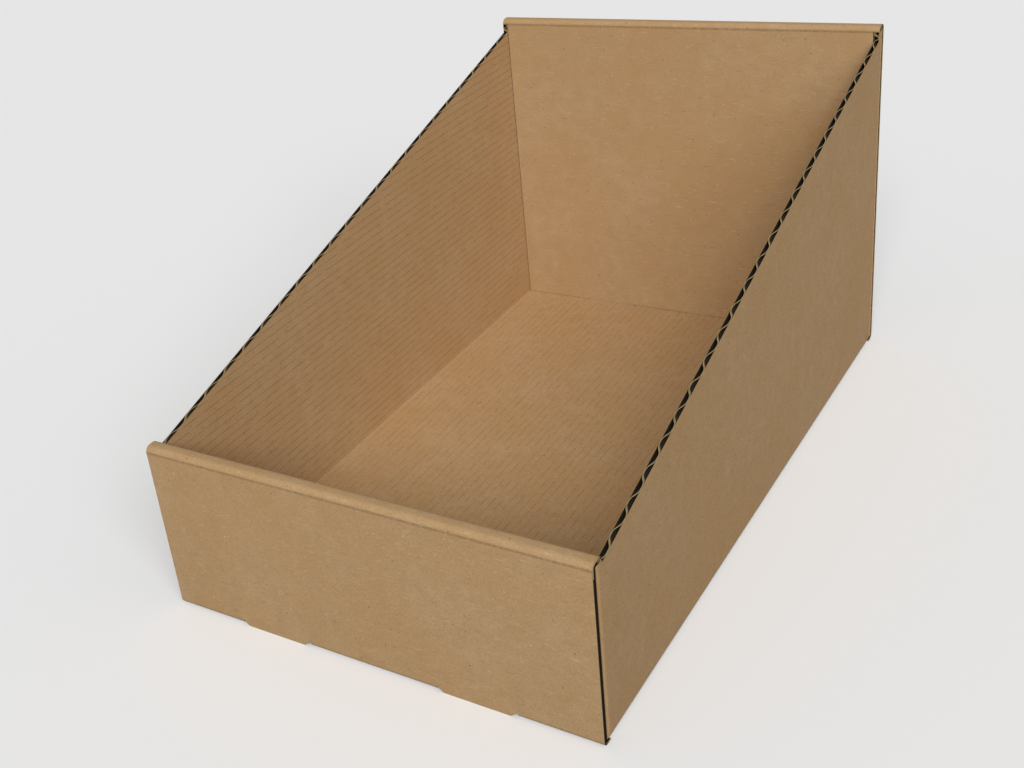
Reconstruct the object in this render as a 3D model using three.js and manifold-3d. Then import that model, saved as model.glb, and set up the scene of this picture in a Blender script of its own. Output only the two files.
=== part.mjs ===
// Display tray folded from one die-cut blank of single-wall corrugated board.
// The base carries two sloping side walls. Each side wall folds in at both ends into a flap.
// The front and back walls rise from the base, roll over the flaps and come down inside,
// where two tabs each drop into slots in the base.
// Millimetres, +Z up, front towards -Y, origin under the middle of the base.
import * as THREE from 'three';
import { mergeVertices } from 'three/addons/utils/BufferGeometryUtils.js';
import Module from 'manifold-3d';

// Outer sizes of the folded tray
const width = 250;
const depth = 415;
const backHeight = 209.5;
const frontHeight = 100.5;
// How far the sloping side edge lies below the top of the front and of the back wall
const sideFrontDrop = 7.5;
const sideBackDrop = 6.5;

// The board: two liners with a waved medium between them
const board = 3;
const liner = 0.2;
const medium = 0.2;
const flutePitch = 4.8;
const insideRadius = 0.3;

// How the layers lie together
const layerGap = 0.15;
const seatGap = 0.3;
const endGap = 0.5;
const flapLength = 105;

// Slots in the base and the tabs that lock in them
const slotCentre = 59.7;
const slotWidth = 44.2;
const slotFlare = 4;
const slotGap = 0.4;
const tabGap = 0.8;
const tabLift = 0.3;

// Fineness of the rounded folds and of each flute channel
const foldSteps = 5;
const channelSteps = 4;
const channelShare = 0.42;
// How deep the flute that lies along a cut end of the front or back wall is open
const endOpen = 2.4;

const outerRadius = insideRadius + board;
const middleRadius = insideRadius + board / 2;
const wallDepth = 3 * board + 2 * layerGap;
const innerFace = 2 * board + 1.5 * layerGap;
const foldLength = middleRadius * Math.PI / 2;
const cornerDepth = board + layerGap + outerRadius;
const sideFrontHeight = frontHeight - sideFrontDrop;
const sideBackHeight = backHeight - sideBackDrop;
const overlap = 0.5;
const beyond = 5;

const wasm = await Module();
wasm.setup();

// A closed three.js geometry as a solid that can be joined and cut
function solid(geometry) {
  geometry.deleteAttribute('normal');
  geometry.deleteAttribute('uv');
  const merged = mergeVertices(geometry, 1e-5);
  return new wasm.Manifold(new wasm.Mesh({
    numProp: 3,
    vertProperties: new Float32Array(merged.attributes.position.array),
    triVerts: new Uint32Array(merged.index.array),
  }));
}

function block(x0, x1, y0, y1, z0, z1) {
  const geometry = new THREE.BoxGeometry(x1 - x0, y1 - y0, z1 - z0);
  geometry.translate((x0 + x1) / 2, (y0 + y1) / 2, (z0 + z1) / 2);
  return solid(geometry);
}

// Extrudes an outline, then lays it along the three given directions
function extrude(outline, length, right, up, along, start) {
  const shape = new THREE.Shape(outline);
  const geometry = new THREE.ExtrudeGeometry(shape, { depth: length, bevelEnabled: false });
  geometry.applyMatrix4(new THREE.Matrix4().makeBasis(right, up, along).setPosition(start));
  return solid(geometry);
}

const axisX = new THREE.Vector3(1, 0, 0);
const axisY = new THREE.Vector3(0, 1, 0);
const axisZ = new THREE.Vector3(0, 0, 1);

// The middle line of a strip of board in section: straight runs and quarter folds.
// A fold of 1 turns left and a fold of -1 turns right.
function layRun(x, y, heading, moves) {
  const parts = [];
  let length = 0;
  for (const { straight = 0, fold = 0 } of moves) {
    const size = fold ? foldLength : straight;
    parts.push({ x, y, heading, fold, size, start: length });
    if (fold) {
      const turned = heading + fold * Math.PI / 2;
      x += fold * middleRadius * (Math.sin(turned) - Math.sin(heading));
      y -= fold * middleRadius * (Math.cos(turned) - Math.cos(heading));
      heading = turned;
    } else {
      x += straight * Math.cos(heading);
      y += straight * Math.sin(heading);
    }
    length += size;
  }
  return { parts, length };
}

// A point at a distance along the run, offset to the left of its heading
function pointOn(run, distance, offset) {
  const part = run.parts.findLast((item) => item.start <= distance + 1e-9);
  const along = distance - part.start;
  const turned = part.heading + (part.fold ? part.fold * along / middleRadius : 0);
  let x = part.x;
  let y = part.y;
  if (part.fold) {
    x += part.fold * middleRadius * (Math.sin(turned) - Math.sin(part.heading));
    y -= part.fold * middleRadius * (Math.cos(turned) - Math.cos(part.heading));
  } else {
    x += along * Math.cos(part.heading);
    y += along * Math.sin(part.heading);
  }
  return new THREE.Vector2(x - offset * Math.sin(turned), y + offset * Math.cos(turned));
}

// The outline of a stretch of the strip, up one offset and back down the other
function outlineOf(run, from = 0, to = run.length, low = -board / 2, high = board / 2) {
  const stations = [from, to];
  for (const part of run.parts) {
    const steps = part.fold ? foldSteps : 1;
    for (let i = 0; i < steps; i += 1) {
      const station = part.start + part.size * i / steps;
      if (station > from && station < to) stations.push(station);
    }
  }
  stations.sort((a, b) => a - b);
  const face = (offset) => stations.map((station) => pointOn(run, station, offset));
  return [...face(high), ...face(low).reverse()];
}

// One flute channel in section, between the waved medium and the liner on the given side
function channelOn(run, middle, side) {
  const reach = flutePitch * channelShare;
  const swing = board / 2 - liner - medium / 2;
  const roof = side * (board / 2 - liner);
  const stations = [];
  for (let i = 0; i <= channelSteps; i += 1) {
    stations.push(middle + reach * (2 * i / channelSteps - 1));
  }
  const floor = stations.map((station) => {
    const wave = Math.cos((station - middle) / flutePitch * 2 * Math.PI);
    return pointOn(run, station, side * (medium / 2 - swing * wave));
  });
  const curved = run.parts.some((part) => part.fold
    && part.start < middle + reach && part.start + part.size > middle - reach);
  const ends = curved ? stations : [middle - reach, middle + reach];
  const ceiling = ends.map((station) => pointOn(run, station, roof));
  return [...floor, ...ceiling.reverse()];
}

// Middles of the channels that fit between two distances, each with the side it opens on
function channelRow(from, to) {
  const reach = flutePitch * channelShare;
  const step = flutePitch / 2;
  const count = Math.floor((to - from - 2 * reach) / step) + 1;
  const first = (from + to - (count - 1) * step) / 2;
  return Array.from({ length: Math.max(count, 0) }, (_, i) => [first + i * step, i % 2 ? 1 : -1]);
}

// A roll-over wall, with its outer face at y = 0 and the tray's inside towards +Y.
// Its flutes run up the wall and round the roll. The one along each cut end lies open,
// on both sides of the medium.
function rollWall(height) {
  const run = layRun(outerRadius + overlap, board / 2, Math.PI, [
    { straight: overlap },
    { fold: -1 },
    { straight: height - 2 * outerRadius },
    { fold: -1 },
    { straight: wallDepth - 2 * outerRadius },
    { fold: -1 },
    { straight: height - outerRadius - tabLift },
  ]);
  const across = (outline, from, length) => extrude(outline, length, axisY, axisZ, axisX,
    new THREE.Vector3(from, 0, 0));
  let wall = across(outlineOf(run), -width / 2, width);

  // The inner panel stands between the side walls, and only its tabs pass the base
  const end = width / 2 - board - endGap;
  const innerStart = run.length - run.parts.at(-1).size;
  const cuts = [];
  for (const [from, to, reach] of [[overlap, innerStart, width / 2], [innerStart, run.length, end]]) {
    for (const [low, high] of [[liner - board / 2, -medium / 2], [medium / 2, board / 2 - liner]]) {
      const groove = outlineOf(run, from, to, low, high);
      cuts.push(across(groove, reach - endOpen, width));
      cuts.push(across(groove, endOpen - reach - width, width));
    }
  }
  const tabInner = slotCentre - slotWidth / 2 + tabGap;
  const tabOuter = slotCentre + slotWidth / 2 - tabGap;
  const back = wallDepth + beyond;
  cuts.push(block(-tabInner, tabInner, innerFace, back, -beyond, board + seatGap));
  for (const side of [-1, 1]) {
    const between = (a, b) => [Math.min(side * a, side * b), Math.max(side * a, side * b)];
    cuts.push(block(...between(end, width), innerFace, back, -beyond, height - outerRadius));
    cuts.push(block(...between(tabOuter, width), innerFace, back, -beyond, board + seatGap));
    cuts.push(block(...between(slotCentre - slotWidth / 2, slotCentre + slotWidth / 2),
      board, outerRadius + 2 * overlap, -beyond, outerRadius));
  }
  wall = wall.subtract(wasm.Manifold.union(cuts));

  // Over each slot the outer panel isn't folded: it ends in a straight cut lip at the ground
  for (const side of [-1, 1]) {
    const lip = [
      [-slotWidth / 2, outerRadius],
      [-slotWidth / 2 + slotFlare, 0],
      [slotWidth / 2 - slotFlare, 0],
      [slotWidth / 2, outerRadius],
    ].map(([x, z]) => new THREE.Vector2(side * slotCentre + x, z));
    wall = wall.add(extrude(lip, board, axisX, axisZ, axisY.clone().negate(),
      new THREE.Vector3(0, board, 0)));
  }
  return wall;
}

// Base and side walls in one section, with flutes along the tray.
// Channels are cut where they come out at the sloping edge or in a slot: the scores crush
// the others shut at both ends.
function baseAndSides() {
  const sideLength = backHeight - outerRadius;
  const run = layRun(-width / 2 + board / 2, backHeight, -Math.PI / 2, [
    { straight: sideLength },
    { fold: 1 },
    { straight: width - 2 * outerRadius },
    { fold: 1 },
    { straight: sideLength },
  ]);
  const lowest = sideFrontHeight - flutePitch / 2;
  const channels = [];
  for (const [down, side] of channelRow(0, backHeight - lowest)) {
    channels.push(channelOn(run, down, side));
    channels.push(channelOn(run, run.length - down, side));
  }
  const baseMiddle = run.length / 2;
  for (const centre of [-slotCentre, slotCentre]) {
    const from = baseMiddle + centre - slotWidth / 2;
    for (const [middle, side] of channelRow(from, from + slotWidth)) {
      channels.push(channelOn(run, middle, side));
    }
  }
  const lay = (outline, reach) => extrude(outline, 2 * reach, axisX, axisZ,
    axisY.clone().negate(), new THREE.Vector3(0, reach, 0));
  const prisms = channels.map((outline) => lay(outline, depth / 2));
  return lay(outlineOf(run), depth / 2 - cornerDepth).subtract(wasm.Manifold.union(prisms));
}

// The end of a side wall: a rounded fold and the flap that lies inside the roll-over wall
function cornerFlap(side, end) {
  const run = layRun(-width / 2 + board / 2, -depth / 2 + cornerDepth + overlap, -Math.PI / 2, [
    { straight: overlap },
    { fold: 1 },
    { straight: flapLength },
  ]);
  const plan = outlineOf(run).map((point) => new THREE.Vector2(-side * point.x, -end * point.y));
  return extrude(plan, backHeight - outerRadius, axisX, axisY, axisZ,
    new THREE.Vector3(0, 0, outerRadius));
}

// Everything above the sloping side edges. The slope ends at the rolls: under them the side
// walls and their flaps go up to the roll and carry it.
function aboveSlope() {
  const rise = (sideBackHeight - sideFrontHeight) / depth;
  const heightAt = (y) => sideFrontHeight + rise * (y + depth / 2);
  const rollAt = depth / 2 - wallDepth;
  const underFront = frontHeight - outerRadius - layerGap;
  const underBack = backHeight - outerRadius - layerGap;
  const far = depth / 2 + beyond;
  const top = Math.max(backHeight, heightAt(far)) + beyond;
  const profile = [
    [-far, underFront],
    [-rollAt, underFront],
    [-rollAt, heightAt(-rollAt)],
    [rollAt, heightAt(rollAt)],
    [rollAt, underBack],
    [far, underBack],
    [far, top],
    [-far, top],
  ].map(([y, z]) => new THREE.Vector2(y, z));
  return extrude(profile, width + 2 * beyond, axisY, axisZ, axisX,
    new THREE.Vector3(-width / 2 - beyond, 0, 0));
}

// The slots that the tabs of the wall at one end drop into
function slotsAt(end) {
  const from = end * (depth / 2 - board);
  const to = end * (depth / 2 - wallDepth - slotGap);
  return [-slotCentre, slotCentre].map((centre) => block(
    centre - slotWidth / 2, centre + slotWidth / 2,
    Math.min(from, to), Math.max(from, to), -beyond, board + seatGap / 2,
  ));
}

function foldedTray() {
  let body = baseAndSides();
  for (const end of [-1, 1]) {
    // The base runs on to the folds of the front and back walls, past the side walls' ends
    const edge = depth / 2 - outerRadius;
    for (const [reach, inner] of [
      [width / 2, depth / 2 - cornerDepth],
      [width / 2 - outerRadius, depth / 2 - cornerDepth - overlap],
    ]) {
      body = body.add(block(-reach, reach, Math.min(end * edge, end * inner),
        Math.max(end * edge, end * inner), 0, board));
    }
    for (const side of [-1, 1]) body = body.add(cornerFlap(side, end));
    for (const slot of slotsAt(end)) body = body.subtract(slot);
  }
  body = body.subtract(aboveSlope());
  const front = rollWall(frontHeight).translate([0, -depth / 2, 0]);
  const back = rollWall(backHeight).rotate([0, 0, 180]).translate([0, depth / 2, 0]);
  return body.add(front).add(back);
}

// A solid back as a three.js geometry
function geometryOf(manifold) {
  const { vertProperties, triVerts } = manifold.getMesh();
  const geometry = new THREE.BufferGeometry();
  geometry.setAttribute('position', new THREE.BufferAttribute(vertProperties, 3));
  geometry.setIndex(new THREE.BufferAttribute(triVerts, 1));
  geometry.computeVertexNormals();
  return geometry;
}

const kraft = new THREE.MeshStandardMaterial({ color: 0xa98a66, roughness: 0.9, metalness: 0 });
const tray = new THREE.Mesh(geometryOf(foldedTray()), kraft);
tray.name = 'tray';

const group = new THREE.Group();
group.add(tray);

export default group;
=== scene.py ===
# %% [markdown]
# # A display tray folded from corrugated board
#
# The tray stands on a counter and shows small goods: low in front, high at the back. It is one
# die-cut blank of brown single-wall board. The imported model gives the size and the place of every
# panel. This lesson rebuilds the board as what it really is, two liners with a waved paper between
# them, and gives each paper surface its finish.

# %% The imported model
import math

import bmesh
import bpy
from mathutils import Matrix, Vector


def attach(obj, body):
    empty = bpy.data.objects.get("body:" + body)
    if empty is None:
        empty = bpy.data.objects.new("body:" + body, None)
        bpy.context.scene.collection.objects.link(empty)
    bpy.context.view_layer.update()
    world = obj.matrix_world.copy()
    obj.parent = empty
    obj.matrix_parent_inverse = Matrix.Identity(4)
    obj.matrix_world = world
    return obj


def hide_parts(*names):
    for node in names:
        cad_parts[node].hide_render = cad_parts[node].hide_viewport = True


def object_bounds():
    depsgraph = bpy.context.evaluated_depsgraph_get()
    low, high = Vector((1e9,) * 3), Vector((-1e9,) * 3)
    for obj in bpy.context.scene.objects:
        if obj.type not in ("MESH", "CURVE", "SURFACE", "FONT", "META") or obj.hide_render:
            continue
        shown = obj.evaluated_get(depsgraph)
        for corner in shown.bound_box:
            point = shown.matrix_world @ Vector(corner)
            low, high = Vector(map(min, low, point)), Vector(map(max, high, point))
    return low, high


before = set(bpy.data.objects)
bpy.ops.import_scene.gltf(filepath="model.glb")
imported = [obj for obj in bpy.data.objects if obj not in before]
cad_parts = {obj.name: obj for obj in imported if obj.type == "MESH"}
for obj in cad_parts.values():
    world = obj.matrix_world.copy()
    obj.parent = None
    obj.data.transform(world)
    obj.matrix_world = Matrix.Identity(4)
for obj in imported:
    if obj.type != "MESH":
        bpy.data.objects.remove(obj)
cad_low, cad_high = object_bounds()
print("tray, mm:", [round(1000 * side, 1) for side in cad_high - cad_low])

# %% [markdown]
# ## The camera
#
# The picture looks down into the tray from the front right, and the camera is rolled a little. A
# camera has no roll setting of its own, so it is turned about its line of sight first, then tipped
# down, then turned to the left. The tray's edges fit best when the true centre lies beside the
# picture's middle, so the lens is shifted. A shift moves the frame and keeps the perspective.

# %% The camera
camera = bpy.data.objects.new("camera", bpy.data.cameras.new("camera"))
bpy.context.scene.collection.objects.link(camera)
camera.location = (0.33435, -0.60792, 0.44139)
turn = Matrix.Rotation(math.radians(38.566), 4, "Z")
tip = Matrix.Rotation(math.radians(90 - 26.868), 4, "X")
roll = Matrix.Rotation(math.radians(-9.14), 4, "Z")
camera.matrix_world = Matrix.Translation(camera.location) @ turn @ tip @ roll
camera.data.sensor_width = 36
camera.data.lens = 47.073
camera.data.shift_x = 0.1631
camera.data.shift_y = -0.0332
camera.data.clip_start = 0.01
bpy.context.scene.camera = camera
bpy.context.view_layer.update()
print("looks along", [round(c, 3) for c in camera.matrix_world.to_3x3() @ Vector((0, 0, -1))])

# %% [markdown]
# ## The stage
#
# A pale floor and a pale world make a plain studio. The floor is one big square, far wider than
# the view, so that low views see no edge of it close by. Both are seen as pale, but send less
# light back: a white floor would light the tray's outside from below and leave its inside dark. A
# Light Path node tells the two kinds of ray apart.

# %% Colours as they are seen, and nodes in one line
def seen(red, green, blue):
    """A colour given as it is seen on a screen, 0 to 255, in the linear values of a shader."""
    linear = []
    for value in (red / 255, green / 255, blue / 255):
        low_part = value / 12.92
        linear.append(low_part if value <= 0.04045 else ((value + 0.055) / 1.055) ** 2.4)
    return (*linear, 1)


def add_node(tree, kind, values=None, **settings):
    """Adds a node, sets what it is told and fills its inputs with values or links."""
    node = tree.nodes.new(kind)
    for name, value in settings.items():
        setattr(node, name, value)
    for name, value in (values or {}).items():
        if isinstance(value, bpy.types.NodeSocket):
            tree.links.new(value, node.inputs[name])
        else:
            node.inputs[name].default_value = value
    return node


print("kraft, linear:", [round(c, 3) for c in seen(172, 141, 105)[:3]])

# %% What is seen straight, in gloss or through glass
def straight_seen(tree):
    """1 for a ray that shows the surface, and 0 for one that only carries light to the tray."""
    path = add_node(tree, "ShaderNodeLightPath").outputs
    seen_or_gloss = add_node(tree, "ShaderNodeMath", {0: path["Is Camera Ray"],
                             1: path["Is Glossy Ray"]}, operation="MAXIMUM").outputs[0]
    return add_node(tree, "ShaderNodeMath", {0: seen_or_gloss, 1: path["Is Transmission Ray"]},
                    operation="MAXIMUM").outputs[0]


# %% The floor and the world
floor_half = 12.0
floor_pale, floor_bounce = 0.86, 0.2
shape = bmesh.new()
bmesh.ops.create_grid(shape, x_segments=1, y_segments=1, size=floor_half)
floor_mesh = bpy.data.meshes.new("floor")
shape.to_mesh(floor_mesh)
shape.free()
floor = bpy.data.objects.new("floor", floor_mesh)
bpy.context.scene.collection.objects.link(floor)
floor_paint = bpy.data.materials.new("floor_paint")
floor_paint.use_nodes = True
floor_shader = floor_paint.node_tree.nodes["Principled BSDF"]
floor_seen = straight_seen(floor_paint.node_tree)
floor_shade = add_node(floor_paint.node_tree, "ShaderNodeMapRange", {
    "Value": floor_seen, "To Min": floor_bounce, "To Max": floor_pale}).outputs[0]
floor_paint.node_tree.links.new(floor_shade, floor_shader.inputs["Base Color"])
floor_shader.inputs["Roughness"].default_value = 0.9
floor_shader.inputs["Specular IOR Level"].default_value = 0.1
floor.data.materials.append(floor_paint)

world = bpy.data.worlds.new("studio")
bpy.context.scene.world = world
world.use_nodes = True
sky = world.node_tree
sky_light = sky.nodes["Background"]
sky_light.inputs["Color"].default_value = (1, 1, 1, 1)
sky_light.inputs["Strength"].default_value = 0.3
sky_seen = add_node(sky, "ShaderNodeBackground", {"Color": seen(236, 236, 235), "Strength": 1.0})
sky_mix = add_node(sky, "ShaderNodeMixShader", {0: straight_seen(sky), 1: sky_light.outputs[0],
                                                 2: sky_seen.outputs[0]})
sky.links.new(sky_mix.outputs[0], sky.nodes["World Output"].inputs["Surface"])
print("floor is", 2 * floor_half, "m wide")

# %% [markdown]
# ## The light
#
# The inside of the tray is as bright as its outside, and the faces that look to the front are the
# brightest. So the light comes over the front wall, from beside the camera: what the camera sees
# into, the light reaches. A second wide sun stands further to the right and lights the inside of
# the left wall, and the world fills the shadows.


# %% The lamps
def add_sun(name, strength, softness, stands_at):
    lamp = bpy.data.objects.new(name, bpy.data.lights.new(name, "SUN"))
    bpy.context.scene.collection.objects.link(lamp)
    lamp.data.energy = strength
    lamp.data.angle = math.radians(softness)
    lamp.rotation_euler = Vector(stands_at).to_track_quat("Z", "Y").to_euler()
    print(name, "stands", round(math.degrees(math.asin(Vector(stands_at).normalized().z))), "degrees up")


add_sun("front_sun", 2.14, 25, (0.30, -0.75, 0.60))
add_sun("right_sun", 1.18, 30, (0.66, -0.50, 0.56))

# %% [markdown]
# ## The board and its folds
#
# Single-wall board is 3 mm thick here: two thin liners, and between them a paper pressed into
# waves, the flutes. The flutes run from front to back in the base and the sides, so the slanting
# cut of a side wall crosses them at a shallow angle and shows long waves. A scored fold is a small
# quarter circle. All sheets follow the same strip of board, each at its own distance from the
# strip's middle, so one helper walks along the strip and gives any point of it.

# %% Sizes of the board, in metres
mm = 0.001
width = cad_high.x - cad_low.x
depth = cad_high.y - cad_low.y
back_height = cad_high.z - cad_low.z
front_height = 100.5 * mm
front_drop, back_drop = 7.5 * mm, 6.5 * mm
side_front_height = front_height - front_drop
side_back_height = back_height - back_drop

board = 3.0 * mm
paper = 0.2 * mm
waved_paper = 0.2 * mm
flute_pitch = 4.8 * mm
flute_swing = board / 2 - paper - waved_paper / 2
liner_offset = board / 2 - paper / 2
inside_radius = 0.3 * mm
layer_gap = 0.15 * mm
fold_radius = inside_radius + board / 2
outer_radius = inside_radius + board
wall_depth = 3 * board + 2 * layer_gap
corner_depth = board + layer_gap + outer_radius
print("wall of three layers, mm:", round(wall_depth / mm, 2))


# %% A strip of board in section
def folded_strip(across, up, heading, straights):
    """Straight runs with a quarter fold to the left between them, as (start, place, turn)."""
    runs, distance = [], 0.0
    for number, straight in enumerate(straights):
        if number:
            runs.append((distance, across, up, heading, 1))
            turned = heading + math.pi / 2
            across += fold_radius * (math.sin(turned) - math.sin(heading))
            up -= fold_radius * (math.cos(turned) - math.cos(heading))
            heading = turned
            distance += fold_radius * math.pi / 2
        runs.append((distance, across, up, heading, 0))
        across += straight * math.cos(heading)
        up += straight * math.sin(heading)
        distance += straight
    return runs, distance


def strip_point(runs, distance, offset):
    """The point at a distance along the strip; a positive offset is on the fold's inner side."""
    start, across, up, heading, fold = [run for run in runs if run[0] <= distance + 1e-9][-1]
    along = distance - start
    if fold:
        turned = heading + along / fold_radius
        across += fold_radius * (math.sin(turned) - math.sin(heading))
        up -= fold_radius * (math.cos(turned) - math.cos(heading))
        heading = turned
    else:
        across += along * math.cos(heading)
        up += along * math.sin(heading)
    return across - offset * math.sin(heading), up + offset * math.cos(heading)


def stations(runs, length, fold_steps, extra=()):
    """Distances at which the strip gets a vertex: its ends, its folds and the extra ones."""
    found = {0.0, length, *extra}
    for start, *_, fold in runs:
        steps = fold_steps if fold else 1
        reach = fold_radius * math.pi / 2 if fold else 0
        found.update(start + reach * step / steps for step in range(steps))
    kept = []
    for distance in sorted(found):
        if not kept or distance - kept[-1] > 0.01 * mm:
            kept.append(distance)
    return kept


top = back_height + 2 * mm
side_run = top - outer_radius
tub_runs, tub_length = folded_strip(-width / 2 + board / 2, top, -math.pi / 2,
                                    [side_run, width - 2 * outer_radius, side_run])
tub_middle = tub_length / 2
print("strip for base and sides, mm:", round(tub_length / mm, 1))

# %% [markdown]
# ## Sheets of paper
#
# Each liner starts as one line of vertices in section, as if the board were seen from its end. The
# line is pulled along the tray and becomes a sheet. The ends of the side walls are spun a quarter
# turn and pulled on into the flaps. Cuts with a plane make the slanting side edges, which stop at
# the rolls of the front and back walls: under them the board goes up and carries the roll. The
# operators keep the faces joined, so the sheet stays one piece of paper from flap to flap.


# %% Helpers that draw, pull and tidy sheets
def is_vertex(item):
    return isinstance(item, bmesh.types.BMVert)


def draw_line(shape, points):
    """Vertices in a row, joined by edges."""
    verts = [shape.verts.new(point) for point in points]
    return [shape.edges.new(pair) for pair in zip(verts, verts[1:])]


def far_edges(made):
    """The edges between the new vertices that an extrude or a spin gives back."""
    new = {item for item in made if is_vertex(item)}
    return [item for item in made if isinstance(item, bmesh.types.BMEdge)
            and item.verts[0] in new and item.verts[1] in new]


def pull(shape, edges, step):
    """Extrudes edges by a step and gives the far edges back."""
    made = bmesh.ops.extrude_edge_only(shape, edges=edges)["geom"]
    bmesh.ops.translate(shape, vec=Vector(step), verts=[item for item in made if is_vertex(item)])
    return far_edges(made)


def quarter_turn(shape, edges, centre, axis, sign, steps):
    """Spins edges by a quarter turn, as a scored fold bends the board."""
    verts = list({vert for edge in edges for vert in edge.verts})
    made = bmesh.ops.spin(shape, geom=verts + edges, cent=centre, axis=axis, steps=steps,
                          dvec=(0, 0, 0), angle=sign * math.pi / 2, use_merge=False,
                          use_duplicate=False)["geom_last"]
    return far_edges(made)


def turn_sheet(shape, faces, middle):
    """Makes the faces of a connected sheet look towards a point on its inner side."""
    shape.normal_update()
    look = sum(face.calc_area() * face.normal.dot(Vector(middle) - face.calc_center_median())
               for face in faces)
    if look < 0:
        bmesh.ops.reverse_faces(shape, faces=faces)
    shape.normal_update()


def drop_faces(shape, faces, unwanted):
    """Deletes the faces whose middles pass a test."""
    gone = [face for face in faces if unwanted(face.calc_center_median())]
    bmesh.ops.delete(shape, geom=gone, context="FACES")


# %% Where the slots and tabs are
slot_middle, slot_half, slot_flare = 59.7 * mm, 22.1 * mm, 4 * mm
tab_play, slot_play, panel_play, foot = 0.8 * mm, 0.4 * mm, 0.5 * mm, 0.3 * mm
slot_from, slot_to = slot_middle - slot_half, slot_middle + slot_half
tab_from, tab_to = slot_from + tab_play, slot_to - tab_play
slot_inner = depth / 2 - wall_depth - slot_play
tub_end = depth / 2 - corner_depth
flap_length = 105 * mm
panel_end = width / 2 - board - panel_play
floor_end = width / 2 - outer_radius
seat = board + foot
across_marks = [slot_from, tab_from, tab_to, slot_to, panel_end, floor_end, width / 2]
slope_start = Vector((0, -depth / 2, side_front_height))
slope = Vector((0, side_front_height - side_back_height, depth)).normalized()
walls = ((-1, front_height), (1, back_height))
roll_at = depth / 2 - wall_depth
print("slots, mm from the middle:", round(slot_from / mm, 1), "to", round(slot_to / mm, 1))


# %% The cut along the top of the side walls and flaps
def with_edges(faces):
    """Faces with their edges and vertices, as bisect_plane wants them."""
    return list({item for face in faces for item in (face, *face.edges, *face.verts)})


def cut_top(shape):
    """Cuts along the slope between the rolls, and just under the roll at each end."""
    rise = (side_back_height - side_front_height) / depth
    for end, _ in walls:
        meets = side_front_height + rise * (end * roll_at + depth / 2)
        for normal in ((0, 1, 0), (0, 0, 1)):
            bmesh.ops.bisect_plane(shape, geom=with_edges(shape.faces), dist=1e-7,
                                   plane_co=(0, end * roll_at, meets), plane_no=normal)
    between = [face for face in shape.faces if abs(face.calc_center_median().y) < roll_at]
    bmesh.ops.split(shape, geom=with_edges(between))
    cuts = [(lambda y: abs(y) < roll_at, slope_start, slope)]
    for end, height in walls:
        under_roll = Vector((0, 0, height - outer_radius - layer_gap))
        cuts.append((lambda y, end=end: end * y > roll_at, under_roll, Vector((0, 0, 1))))
    for is_here, place, normal in cuts:
        here = [face for face in shape.faces if is_here(face.calc_center_median().y)]
        bmesh.ops.bisect_plane(shape, geom=with_edges(here), dist=1e-7, plane_co=place,
                               plane_no=normal, clear_outer=True)


# %% The base, the side walls and the four flaps as one sheet
def tub_sheet(shape, offset_at, marks, fold_steps):
    """Draws the sheet at an offset that may change along the strip."""
    line = []
    for distance in stations(tub_runs, tub_length, fold_steps, marks):
        x, z = strip_point(tub_runs, distance, offset_at(distance))
        line.append((x, -tub_end, z))
    first = draw_line(shape, line)
    edges = first
    for step in (tub_end - slot_inner, 2 * slot_inner, tub_end - slot_inner):
        edges = pull(shape, edges, (0, step, 0))
    for end, end_edges in ((-1, first), (1, edges)):
        for side in (-1, 1):
            wall = [edge for edge in end_edges if all(
                vert.co.x * side > 0 and vert.co.z > outer_radius - 1e-6 for vert in edge.verts)]
            centre = (side * floor_end, end * tub_end, 0)
            turned = quarter_turn(shape, wall, centre, (0, 0, 1), side * end, fold_steps)
            pull(shape, turned, (-side * flap_length, 0, 0))
    turn_sheet(shape, shape.faces[:], (0, 0, side_front_height))
    cut_top(shape)
    drop_faces(shape, shape.faces[:], lambda c: c.z < board and abs(c.y) > slot_inner
               and slot_from < abs(c.x) < slot_to)


# %% [markdown]
# ## The front and back walls
#
# Each of these walls is folded three times: up from the base, over the flaps, and down again
# inside. Its section is drawn from the foot of the inner panel to the base and pulled across the
# tray. Then the parts that the die cuts away are dropped: the inner panel's ends, what lies
# between its tabs, and the slots. Over each slot the outer panel isn't folded. It ends in a
# straight lip that stands on the ground.


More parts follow.
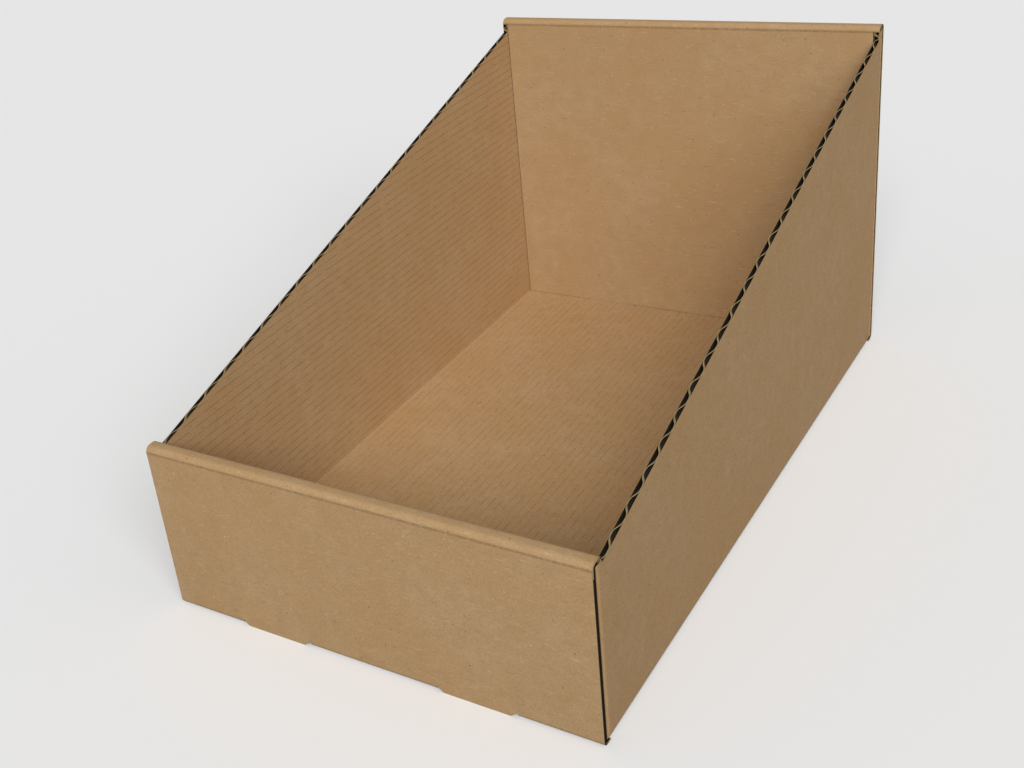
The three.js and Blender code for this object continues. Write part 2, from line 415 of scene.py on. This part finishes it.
# %% A roll-over wall as one sheet
def wall_sheet(shape, end, height, offset, marks, fold_steps, wave=None):
    """Draws one wall; end is -1 for the front and 1 for the back."""
    runs, length = folded_strip(wall_depth - board / 2, foot, math.pi / 2, [
        height - outer_radius - foot, wall_depth - 2 * outer_radius,
        height - 2 * outer_radius, corner_depth - outer_radius])
    line = []
    for distance in stations(runs, length, fold_steps, [seat - foot]):
        y, z = strip_point(runs, distance, offset)
        line.append((-width / 2, end * (depth / 2 - y), z))
    before = set(shape.faces)
    edges = draw_line(shape, line)
    places = sorted({round(side * mark, 7) for mark in marks for side in (-1, 1)})
    for here, there in zip(places, places[1:]):
        edges = pull(shape, edges, (there - here, 0, 0))
    faces = [face for face in shape.faces if face not in before]
    turn_sheet(shape, faces, (0, end * (depth - wall_depth) / 2, height / 2))

    def cut_away(c):
        deep, out = depth / 2 - abs(c.y), abs(c.x)
        in_slot = slot_from < out < slot_to
        if deep > 2 * board + layer_gap and c.z < height - outer_radius:
            return out > panel_end or (c.z < seat and not tab_from < out < tab_to)
        return in_slot and c.z < outer_radius

    drop_faces(shape, faces, cut_away)
    faces = [face for face in shape.faces if face not in before]
    hem = {edge for face in faces for edge in face.edges if edge.is_boundary and all(
        abs(vert.co.z - outer_radius) < 1e-6 and depth / 2 - abs(vert.co.y) < outer_radius
        and slot_from - 1e-6 < abs(vert.co.x) < slot_to + 1e-6 for vert in edge.verts)}
    for vert in {vert for edge in pull(shape, list(hem), (0, 0, -outer_radius))
                 for vert in edge.verts}:
        out = min(max(abs(vert.co.x), slot_from + slot_flare), slot_to - slot_flare)
        vert.co.x = math.copysign(out, vert.co.x)
    if wave:
        shape.normal_update()
        verts = {vert for face in shape.faces if face not in before for vert in face.verts}
        for vert, shift in [(vert, vert.normal * wave(vert.co.x)) for vert in verts]:
            vert.co += shift


# %% [markdown]
# ## Paper gets its thickness
#
# So far each sheet has no thickness. A Solidify modifier gives it some, half to each side, and
# sorts the materials: the face that is seen, the face that looks into the flutes, and the cut rim.
# The modifier is applied at once, because only the finished mesh knows which edges are sharp.


# %% From sheet to piece
def paper_piece(name, shape, thickness, finishes):
    """Turns the sheets into one thick mesh, with a finish for its face, its back and its rim."""
    bmesh.ops.remove_doubles(shape, verts=shape.verts, dist=0.02 * mm)
    bmesh.ops.dissolve_degenerate(shape, edges=shape.edges, dist=0.01 * mm)
    mesh = bpy.data.meshes.new(name + "_sheet")
    shape.to_mesh(mesh)
    shape.free()
    sheet = bpy.data.objects.new(name + "_sheet", mesh)
    bpy.context.scene.collection.objects.link(sheet)
    for finish in finishes:
        mesh.materials.append(finish)
    thick = sheet.modifiers.new("thickness", "SOLIDIFY")
    thick.thickness = thickness
    thick.offset = 0
    thick.material_offset = 1
    thick.material_offset_rim = 2
    evaluated = sheet.evaluated_get(bpy.context.evaluated_depsgraph_get())
    solid = bpy.data.meshes.new_from_object(evaluated)
    solid.name = name
    bpy.data.objects.remove(sheet)
    for face in solid.polygons:
        face.use_smooth = True
    solid.set_sharp_from_angle(angle=math.radians(32))
    piece = bpy.data.objects.new(name, solid)
    bpy.context.scene.collection.objects.link(piece)
    triangles = sum(len(face.vertices) - 2 for face in solid.polygons)
    print(name, "has", triangles, "triangles")
    return piece


# %% [markdown]
# ## Kraft paper
#
# Kraft paper is brown with soft clouds, short pale and dark fibres and a few dark specks of bark.
# All of it comes from noise on the object's own coordinates, in metres, so a speck is as large on
# the floor as on the walls. The inside liner also shows fine broken lines along the flutes, where
# it is glued to their tips.


# %% Patterns that the papers share
def ramp(tree, value, low, high, to_low=0.0, to_high=1.0):
    """Maps a value between two limits and holds it beyond them."""
    return add_node(tree, "ShaderNodeMapRange", {"Value": value, "From Min": low,
                    "From Max": high, "To Min": to_low, "To Max": to_high}).outputs[0]


def reckon(tree, operation, first, second=0.5):
    """One step of arithmetic on numbers or links; some operations need no second value."""
    return add_node(tree, "ShaderNodeMath", {0: first, 1: second}, operation=operation).outputs[0]


def noise(tree, place, scale, detail=2.0, roughness=0.5):
    return add_node(tree, "ShaderNodeTexNoise", {"Vector": place, "Scale": scale,
                    "Detail": detail, "Roughness": roughness}).outputs["Fac"]


def mix(tree, factor, first, second):
    """Mixes two colours, each a fixed one or one from a node."""
    node = tree.nodes.new("ShaderNodeMix")
    node.data_type = "RGBA"
    for index, value in ((0, factor), (6, first), (7, second)):
        if isinstance(value, bpy.types.NodeSocket):
            tree.links.new(value, node.inputs[index])
        else:
            node.inputs[index].default_value = value
    return node.outputs[2]


def stretched(tree, place, size, angle=(0, 0, 0)):
    """The place turned and scaled, for strokes that are longer than wide."""
    return add_node(tree, "ShaderNodeMapping", {"Vector": place, "Scale": size,
                    "Rotation": [math.radians(a) for a in angle]}).outputs[0]


def specks(tree, place, cell, reach, shift=(0, 0, 0)):
    """Small dots: 1 in the middle of a speck and 0 outside it."""
    moved = add_node(tree, "ShaderNodeMapping", {"Vector": place, "Location": shift}).outputs[0]
    dots = add_node(tree, "ShaderNodeTexVoronoi", {"Vector": moved, "Scale": 1 / cell})
    return ramp(tree, dots.outputs["Distance"], 0.5 * reach / cell, reach / cell, 1.0, 0.0)


# %% What marks the kraft papers
def score_dent_and_shade(tree, place):
    """1 along the scores of both rolls, in short dashes where the score crushed a flute: a dent in the
    bump, and painted shade in the colour.
    """
    parts = add_node(tree, "ShaderNodeSeparateXYZ", {"Vector": place}).outputs
    height = ramp(tree, parts[1], -mm, mm, front_height, back_height)
    down = reckon(tree, "SUBTRACT", height, parts[2])
    deep = reckon(tree, "SUBTRACT", depth / 2 - wall_depth / 2, reckon(tree, "ABSOLUTE", parts[1]))
    inward = reckon(tree, "SUBTRACT", wall_depth / 2, reckon(tree, "ABSOLUTE", deep))
    offset = add_node(tree, "ShaderNodeCombineXYZ", {"X": down, "Y": inward}).outputs[0]
    away = add_node(tree, "ShaderNodeVectorMath", {0: offset, 1: (outer_radius, 0, 0)},
                    operation="DISTANCE").outputs["Value"]
    line = ramp(tree, away, 0.35 * mm, 0.95 * mm, 1.0, 0.0)
    dashes = ramp(tree, noise(tree, stretched(tree, place, (700, 1, 1)), 1.0, 1.0), 0.3, 0.6,
                  0.45, 1.0)
    return reckon(tree, "MULTIPLY", line, dashes)


def flute_lines(tree, place):
    """Broken lines over the flutes, as (how deep, how dark); they are clearer on the walls."""
    parts = add_node(tree, "ShaderNodeSeparateXYZ", {"Vector": place}).outputs
    around = reckon(tree, "ADD", parts[0], parts[2])
    flat = add_node(tree, "ShaderNodeCombineXYZ", {"X": around, "Y": parts[1]}).outputs[0]
    waver = noise(tree, stretched(tree, flat, (60, 30, 1)), 1.0, 1.0)
    shaken = reckon(tree, "ADD", ramp(tree, waver, 0, 1, -0.4 * mm, 0.4 * mm), around)
    turns = reckon(tree, "MULTIPLY", shaken, 2 * math.pi / flute_pitch)
    line = ramp(tree, reckon(tree, "COSINE", turns), 0.94, 1.0)
    streaks = noise(tree, stretched(tree, flat, (420, 105, 1)), 1.0, 2.0)
    clearer = ramp(tree, parts[2], 0, 10 * mm, 0.0, 0.08)
    broken = ramp(tree, reckon(tree, "ADD", streaks, clearer), 0.42, 0.6)
    drawn = reckon(tree, "MULTIPLY", line, broken)
    strength = ramp(tree, parts[2], 0, 10 * mm, 0.7, 0.85)
    return drawn, reckon(tree, "MULTIPLY", drawn, strength)


def kraft_colour(tree, place, grain, pale, warm):
    """Clouds and a warm drift, the grain, three directions of fibres, dark and pale specks."""
    clouds = ramp(tree, noise(tree, place, 120, 4.0, 0.62), 0.32, 0.68)
    colour = mix(tree, clouds, seen(*warm), seen(*pale))
    drift = ramp(tree, noise(tree, place, 22, 2.0), 0.35, 0.65, 0.0, 0.55)
    colour = mix(tree, drift, colour, seen(warm[0] + 1, 0.97 * warm[1], 0.9 * warm[2]))
    colour = mix(tree, ramp(tree, grain, 0.42, 0.72, 0.0, 0.46), colour,
                 seen(*[0.80 * c for c in warm]))
    for number, turn in enumerate(((20, 35, 10), (-35, 15, 70), (60, -20, 130))):
        fibre_place = stretched(tree, place, (0.16, 1, 1), turn)
        strands = noise(tree, fibre_place, 900 + 60 * number, 1.0)
        colour = mix(tree, ramp(tree, strands, 0.66, 0.78, 0.0, 0.22), colour,
                     seen(205, 182, 148) if number else seen(112, 86, 58))
    dark_dots = specks(tree, place, 7.2 * mm, 0.62 * mm)
    colour = mix(tree, ramp(tree, dark_dots, 0, 1, 0.0, 0.62), colour, seen(104, 78, 50))
    pale_dots = specks(tree, place, 7.9 * mm, 0.5 * mm, (0.31, 0.17, 0.05))
    return mix(tree, ramp(tree, pale_dots, 0, 1, 0.0, 0.42), colour, seen(222, 205, 176))


# %% The kraft papers
def kraft_paper(name, pale, warm, lined=False):
    """A kraft liner: the inner one shows the flute lines, the outer one the scores, with painted shade
    along them.
    """
    material = bpy.data.materials.new(name)
    material.use_nodes = True
    tree = material.node_tree
    shader = tree.nodes["Principled BSDF"]
    place = add_node(tree, "ShaderNodeTexCoord").outputs["Object"]
    grain = noise(tree, place, 1100, 2.0, 0.7)
    colour = kraft_colour(tree, place, grain, pale, warm)
    if lined:
        drawn, darkness = flute_lines(tree, place)
        colour = mix(tree, darkness, colour, seen(134, 96, 52))
    else:
        drawn = score_dent_and_shade(tree, place)
        # Painted shade: the colour is darkened along the scores, for the shade in the bent board.
        colour = mix(tree, ramp(tree, drawn, 0, 1, 0.0, 0.5), colour, seen(112, 86, 60))
    relief = reckon(tree, "SUBTRACT", ramp(tree, grain, 0.2, 0.8), drawn)
    tree.links.new(colour, shader.inputs["Base Color"])
    tree.links.new(ramp(tree, grain, 0.2, 0.8, 0.82, 0.94), shader.inputs["Roughness"])
    shader.inputs["Specular IOR Level"].default_value = 0.18
    bump = add_node(tree, "ShaderNodeBump", {"Strength": 0.25, "Distance": 0.1 * mm,
                                             "Height": relief})
    tree.links.new(bump.outputs[0], shader.inputs["Normal"])
    return material


# The inner liner is painted a little paler than the outer one: painted light that makes up for the shade
# inside the tray.
kraft_outside = kraft_paper("kraft_outside", (178, 147, 109), (170, 139, 101))
kraft_inside = kraft_paper("kraft_inside", (186, 153, 113), (178, 145, 105), lined=True)
print("papers:", kraft_outside.name, kraft_inside.name)

# %% [markdown]
# ## The flutes and the cut edge
#
# Little light gets between the liners, so the flutes read as dark gaps in the edge of the board.
# The backs of the liners are painted near black there, as painted shade. The waved paper catches
# light only in the first half millimetre below the cut, so its colour is painted darker with the
# distance from the cutting plane: painted shade. Its own rim is palest, because the blade bares
# fresh fibres.


# %% The waved paper, the liners' backs and the cut rims
def painted_light_near_cut(tree, place):
    """1 at the slanting cut, 0 half a millimetre below it: the mask of the painted shade in the flutes.
    """
    reach = 0.5 * mm
    above = add_node(tree, "ShaderNodeVectorMath", {0: place, 1: slope},
                     operation="DOT_PRODUCT").outputs["Value"]
    level = slope.dot(slope_start)
    return ramp(tree, above, level - reach, level)


def plain_paper(name, dark, light, scale, deep=None):
    """A paper with a fine grain and no specks, with painted shade inside the flutes if deep is given."""
    material = bpy.data.materials.new(name)
    material.use_nodes = True
    tree = material.node_tree
    shader = tree.nodes["Principled BSDF"]
    place = add_node(tree, "ShaderNodeTexCoord").outputs["Object"]
    grain = noise(tree, place, scale, 3.0, 0.65)
    colour = mix(tree, ramp(tree, grain, 0.3, 0.7), seen(*dark), seen(*light))
    if deep:
        # Painted shade: below the cut the colour turns to the deep colour, for the shade inside the
        # flutes.
        colour = mix(tree, painted_light_near_cut(tree, place), seen(*deep), colour)
    tree.links.new(colour, shader.inputs["Base Color"])
    tree.links.new(ramp(tree, grain, 0.2, 0.8, 0.85, 0.97), shader.inputs["Roughness"])
    shader.inputs["Specular IOR Level"].default_value = 0.1
    bump = add_node(tree, "ShaderNodeBump", {"Strength": 0.3, "Distance": 0.1 * mm,
                                             "Height": grain})
    tree.links.new(bump.outputs[0], shader.inputs["Normal"])
    return material


# Painted shade: the backs of the liners are painted near black, for the shade between the liners.
liner_back_painted_shade = plain_paper("liner_back_painted_shade", (32, 28, 23), (42, 36, 29), 700)
# The waved paper has its own colour, and the deep colour is painted shade below the cut.
flute_paper_painted_shade = plain_paper("flute_paper_painted_shade", (140, 120, 82), (168, 146, 104), 700, deep=(34, 29, 23))
liner_rim = plain_paper("liner_rim", (120, 98, 66), (146, 121, 84), 1500)
flute_rim = plain_paper("flute_rim", (152, 134, 98), (182, 162, 120), 1500)

# %% [markdown]
# ## The three papers of the tray
#
# Now the sheets are drawn: the outer liner, the inner liner, and the waved paper between them. The
# wave keeps its pitch along the strip, round the folds too. Its phase is set so that the waves in
# the slanting edge fall where they do on the real tray.

# %% The outer and the inner liner
marks_on_tub = [tub_middle + side * mark for mark in across_marks[:-1] for side in (-1, 1)]

shape = bmesh.new()
tub_sheet(shape, lambda distance: -liner_offset, marks_on_tub, 8)
for end, height in walls:
    wall_sheet(shape, end, height, -liner_offset, across_marks, 8)
bmesh.ops.reverse_faces(shape, faces=shape.faces)
outer_liner = paper_piece("outer_liner", shape, paper, [kraft_outside, liner_back_painted_shade, liner_rim])

shape = bmesh.new()
tub_sheet(shape, lambda distance: liner_offset, marks_on_tub, 8)
for end, height in walls:
    wall_sheet(shape, end, height, liner_offset, across_marks, 8)
inner_liner = paper_piece("inner_liner", shape, paper, [kraft_inside, liner_back_painted_shade, liner_rim])

# %% The waved paper
crest_height = 200.2 * mm
crest_at = tub_length - (top - crest_height)
end_shift = 0.3


def wave(turns):
    """The paper's distance from the middle: rounded crests with steep sides between them."""
    steep = 1.5
    return flute_swing * math.tanh(steep * math.cos(2 * math.pi * turns)) / math.tanh(steep)


def wave_along(distance):
    return wave((distance - crest_at) / flute_pitch)


def wave_across(x):
    return wave((x - width / 2) / flute_pitch - end_shift)


samples = round(12 * tub_length / flute_pitch)
fine_marks = [tub_length * step / samples for step in range(samples + 1)]
wall_samples = round(4 * width / flute_pitch)
wall_marks = [width / 2 * step / wall_samples for step in range(wall_samples + 1)]

shape = bmesh.new()
tub_sheet(shape, wave_along, fine_marks + marks_on_tub, 4)
for end, height in walls:
    wall_sheet(shape, end, height, 0, wall_marks + across_marks, 4, wave_across)
fluted_paper = paper_piece("fluted_paper", shape, waved_paper, [flute_paper_painted_shade, flute_paper_painted_shade, flute_rim])

# %% [markdown]
# ## Riding on the model
#
# The three papers take the place of the plain solid. They ride on its body, so that the tray moves
# as one thing.

# %% The pieces replace the plain solid
for piece in (outer_liner, fluted_paper, inner_liner):
    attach(piece, "root")
    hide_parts("tray")

# %% [markdown]
# ## The last look
#
# The picture is shown as it is, with no film look.

# %% The view
bpy.context.scene.view_settings.view_transform = "Standard"
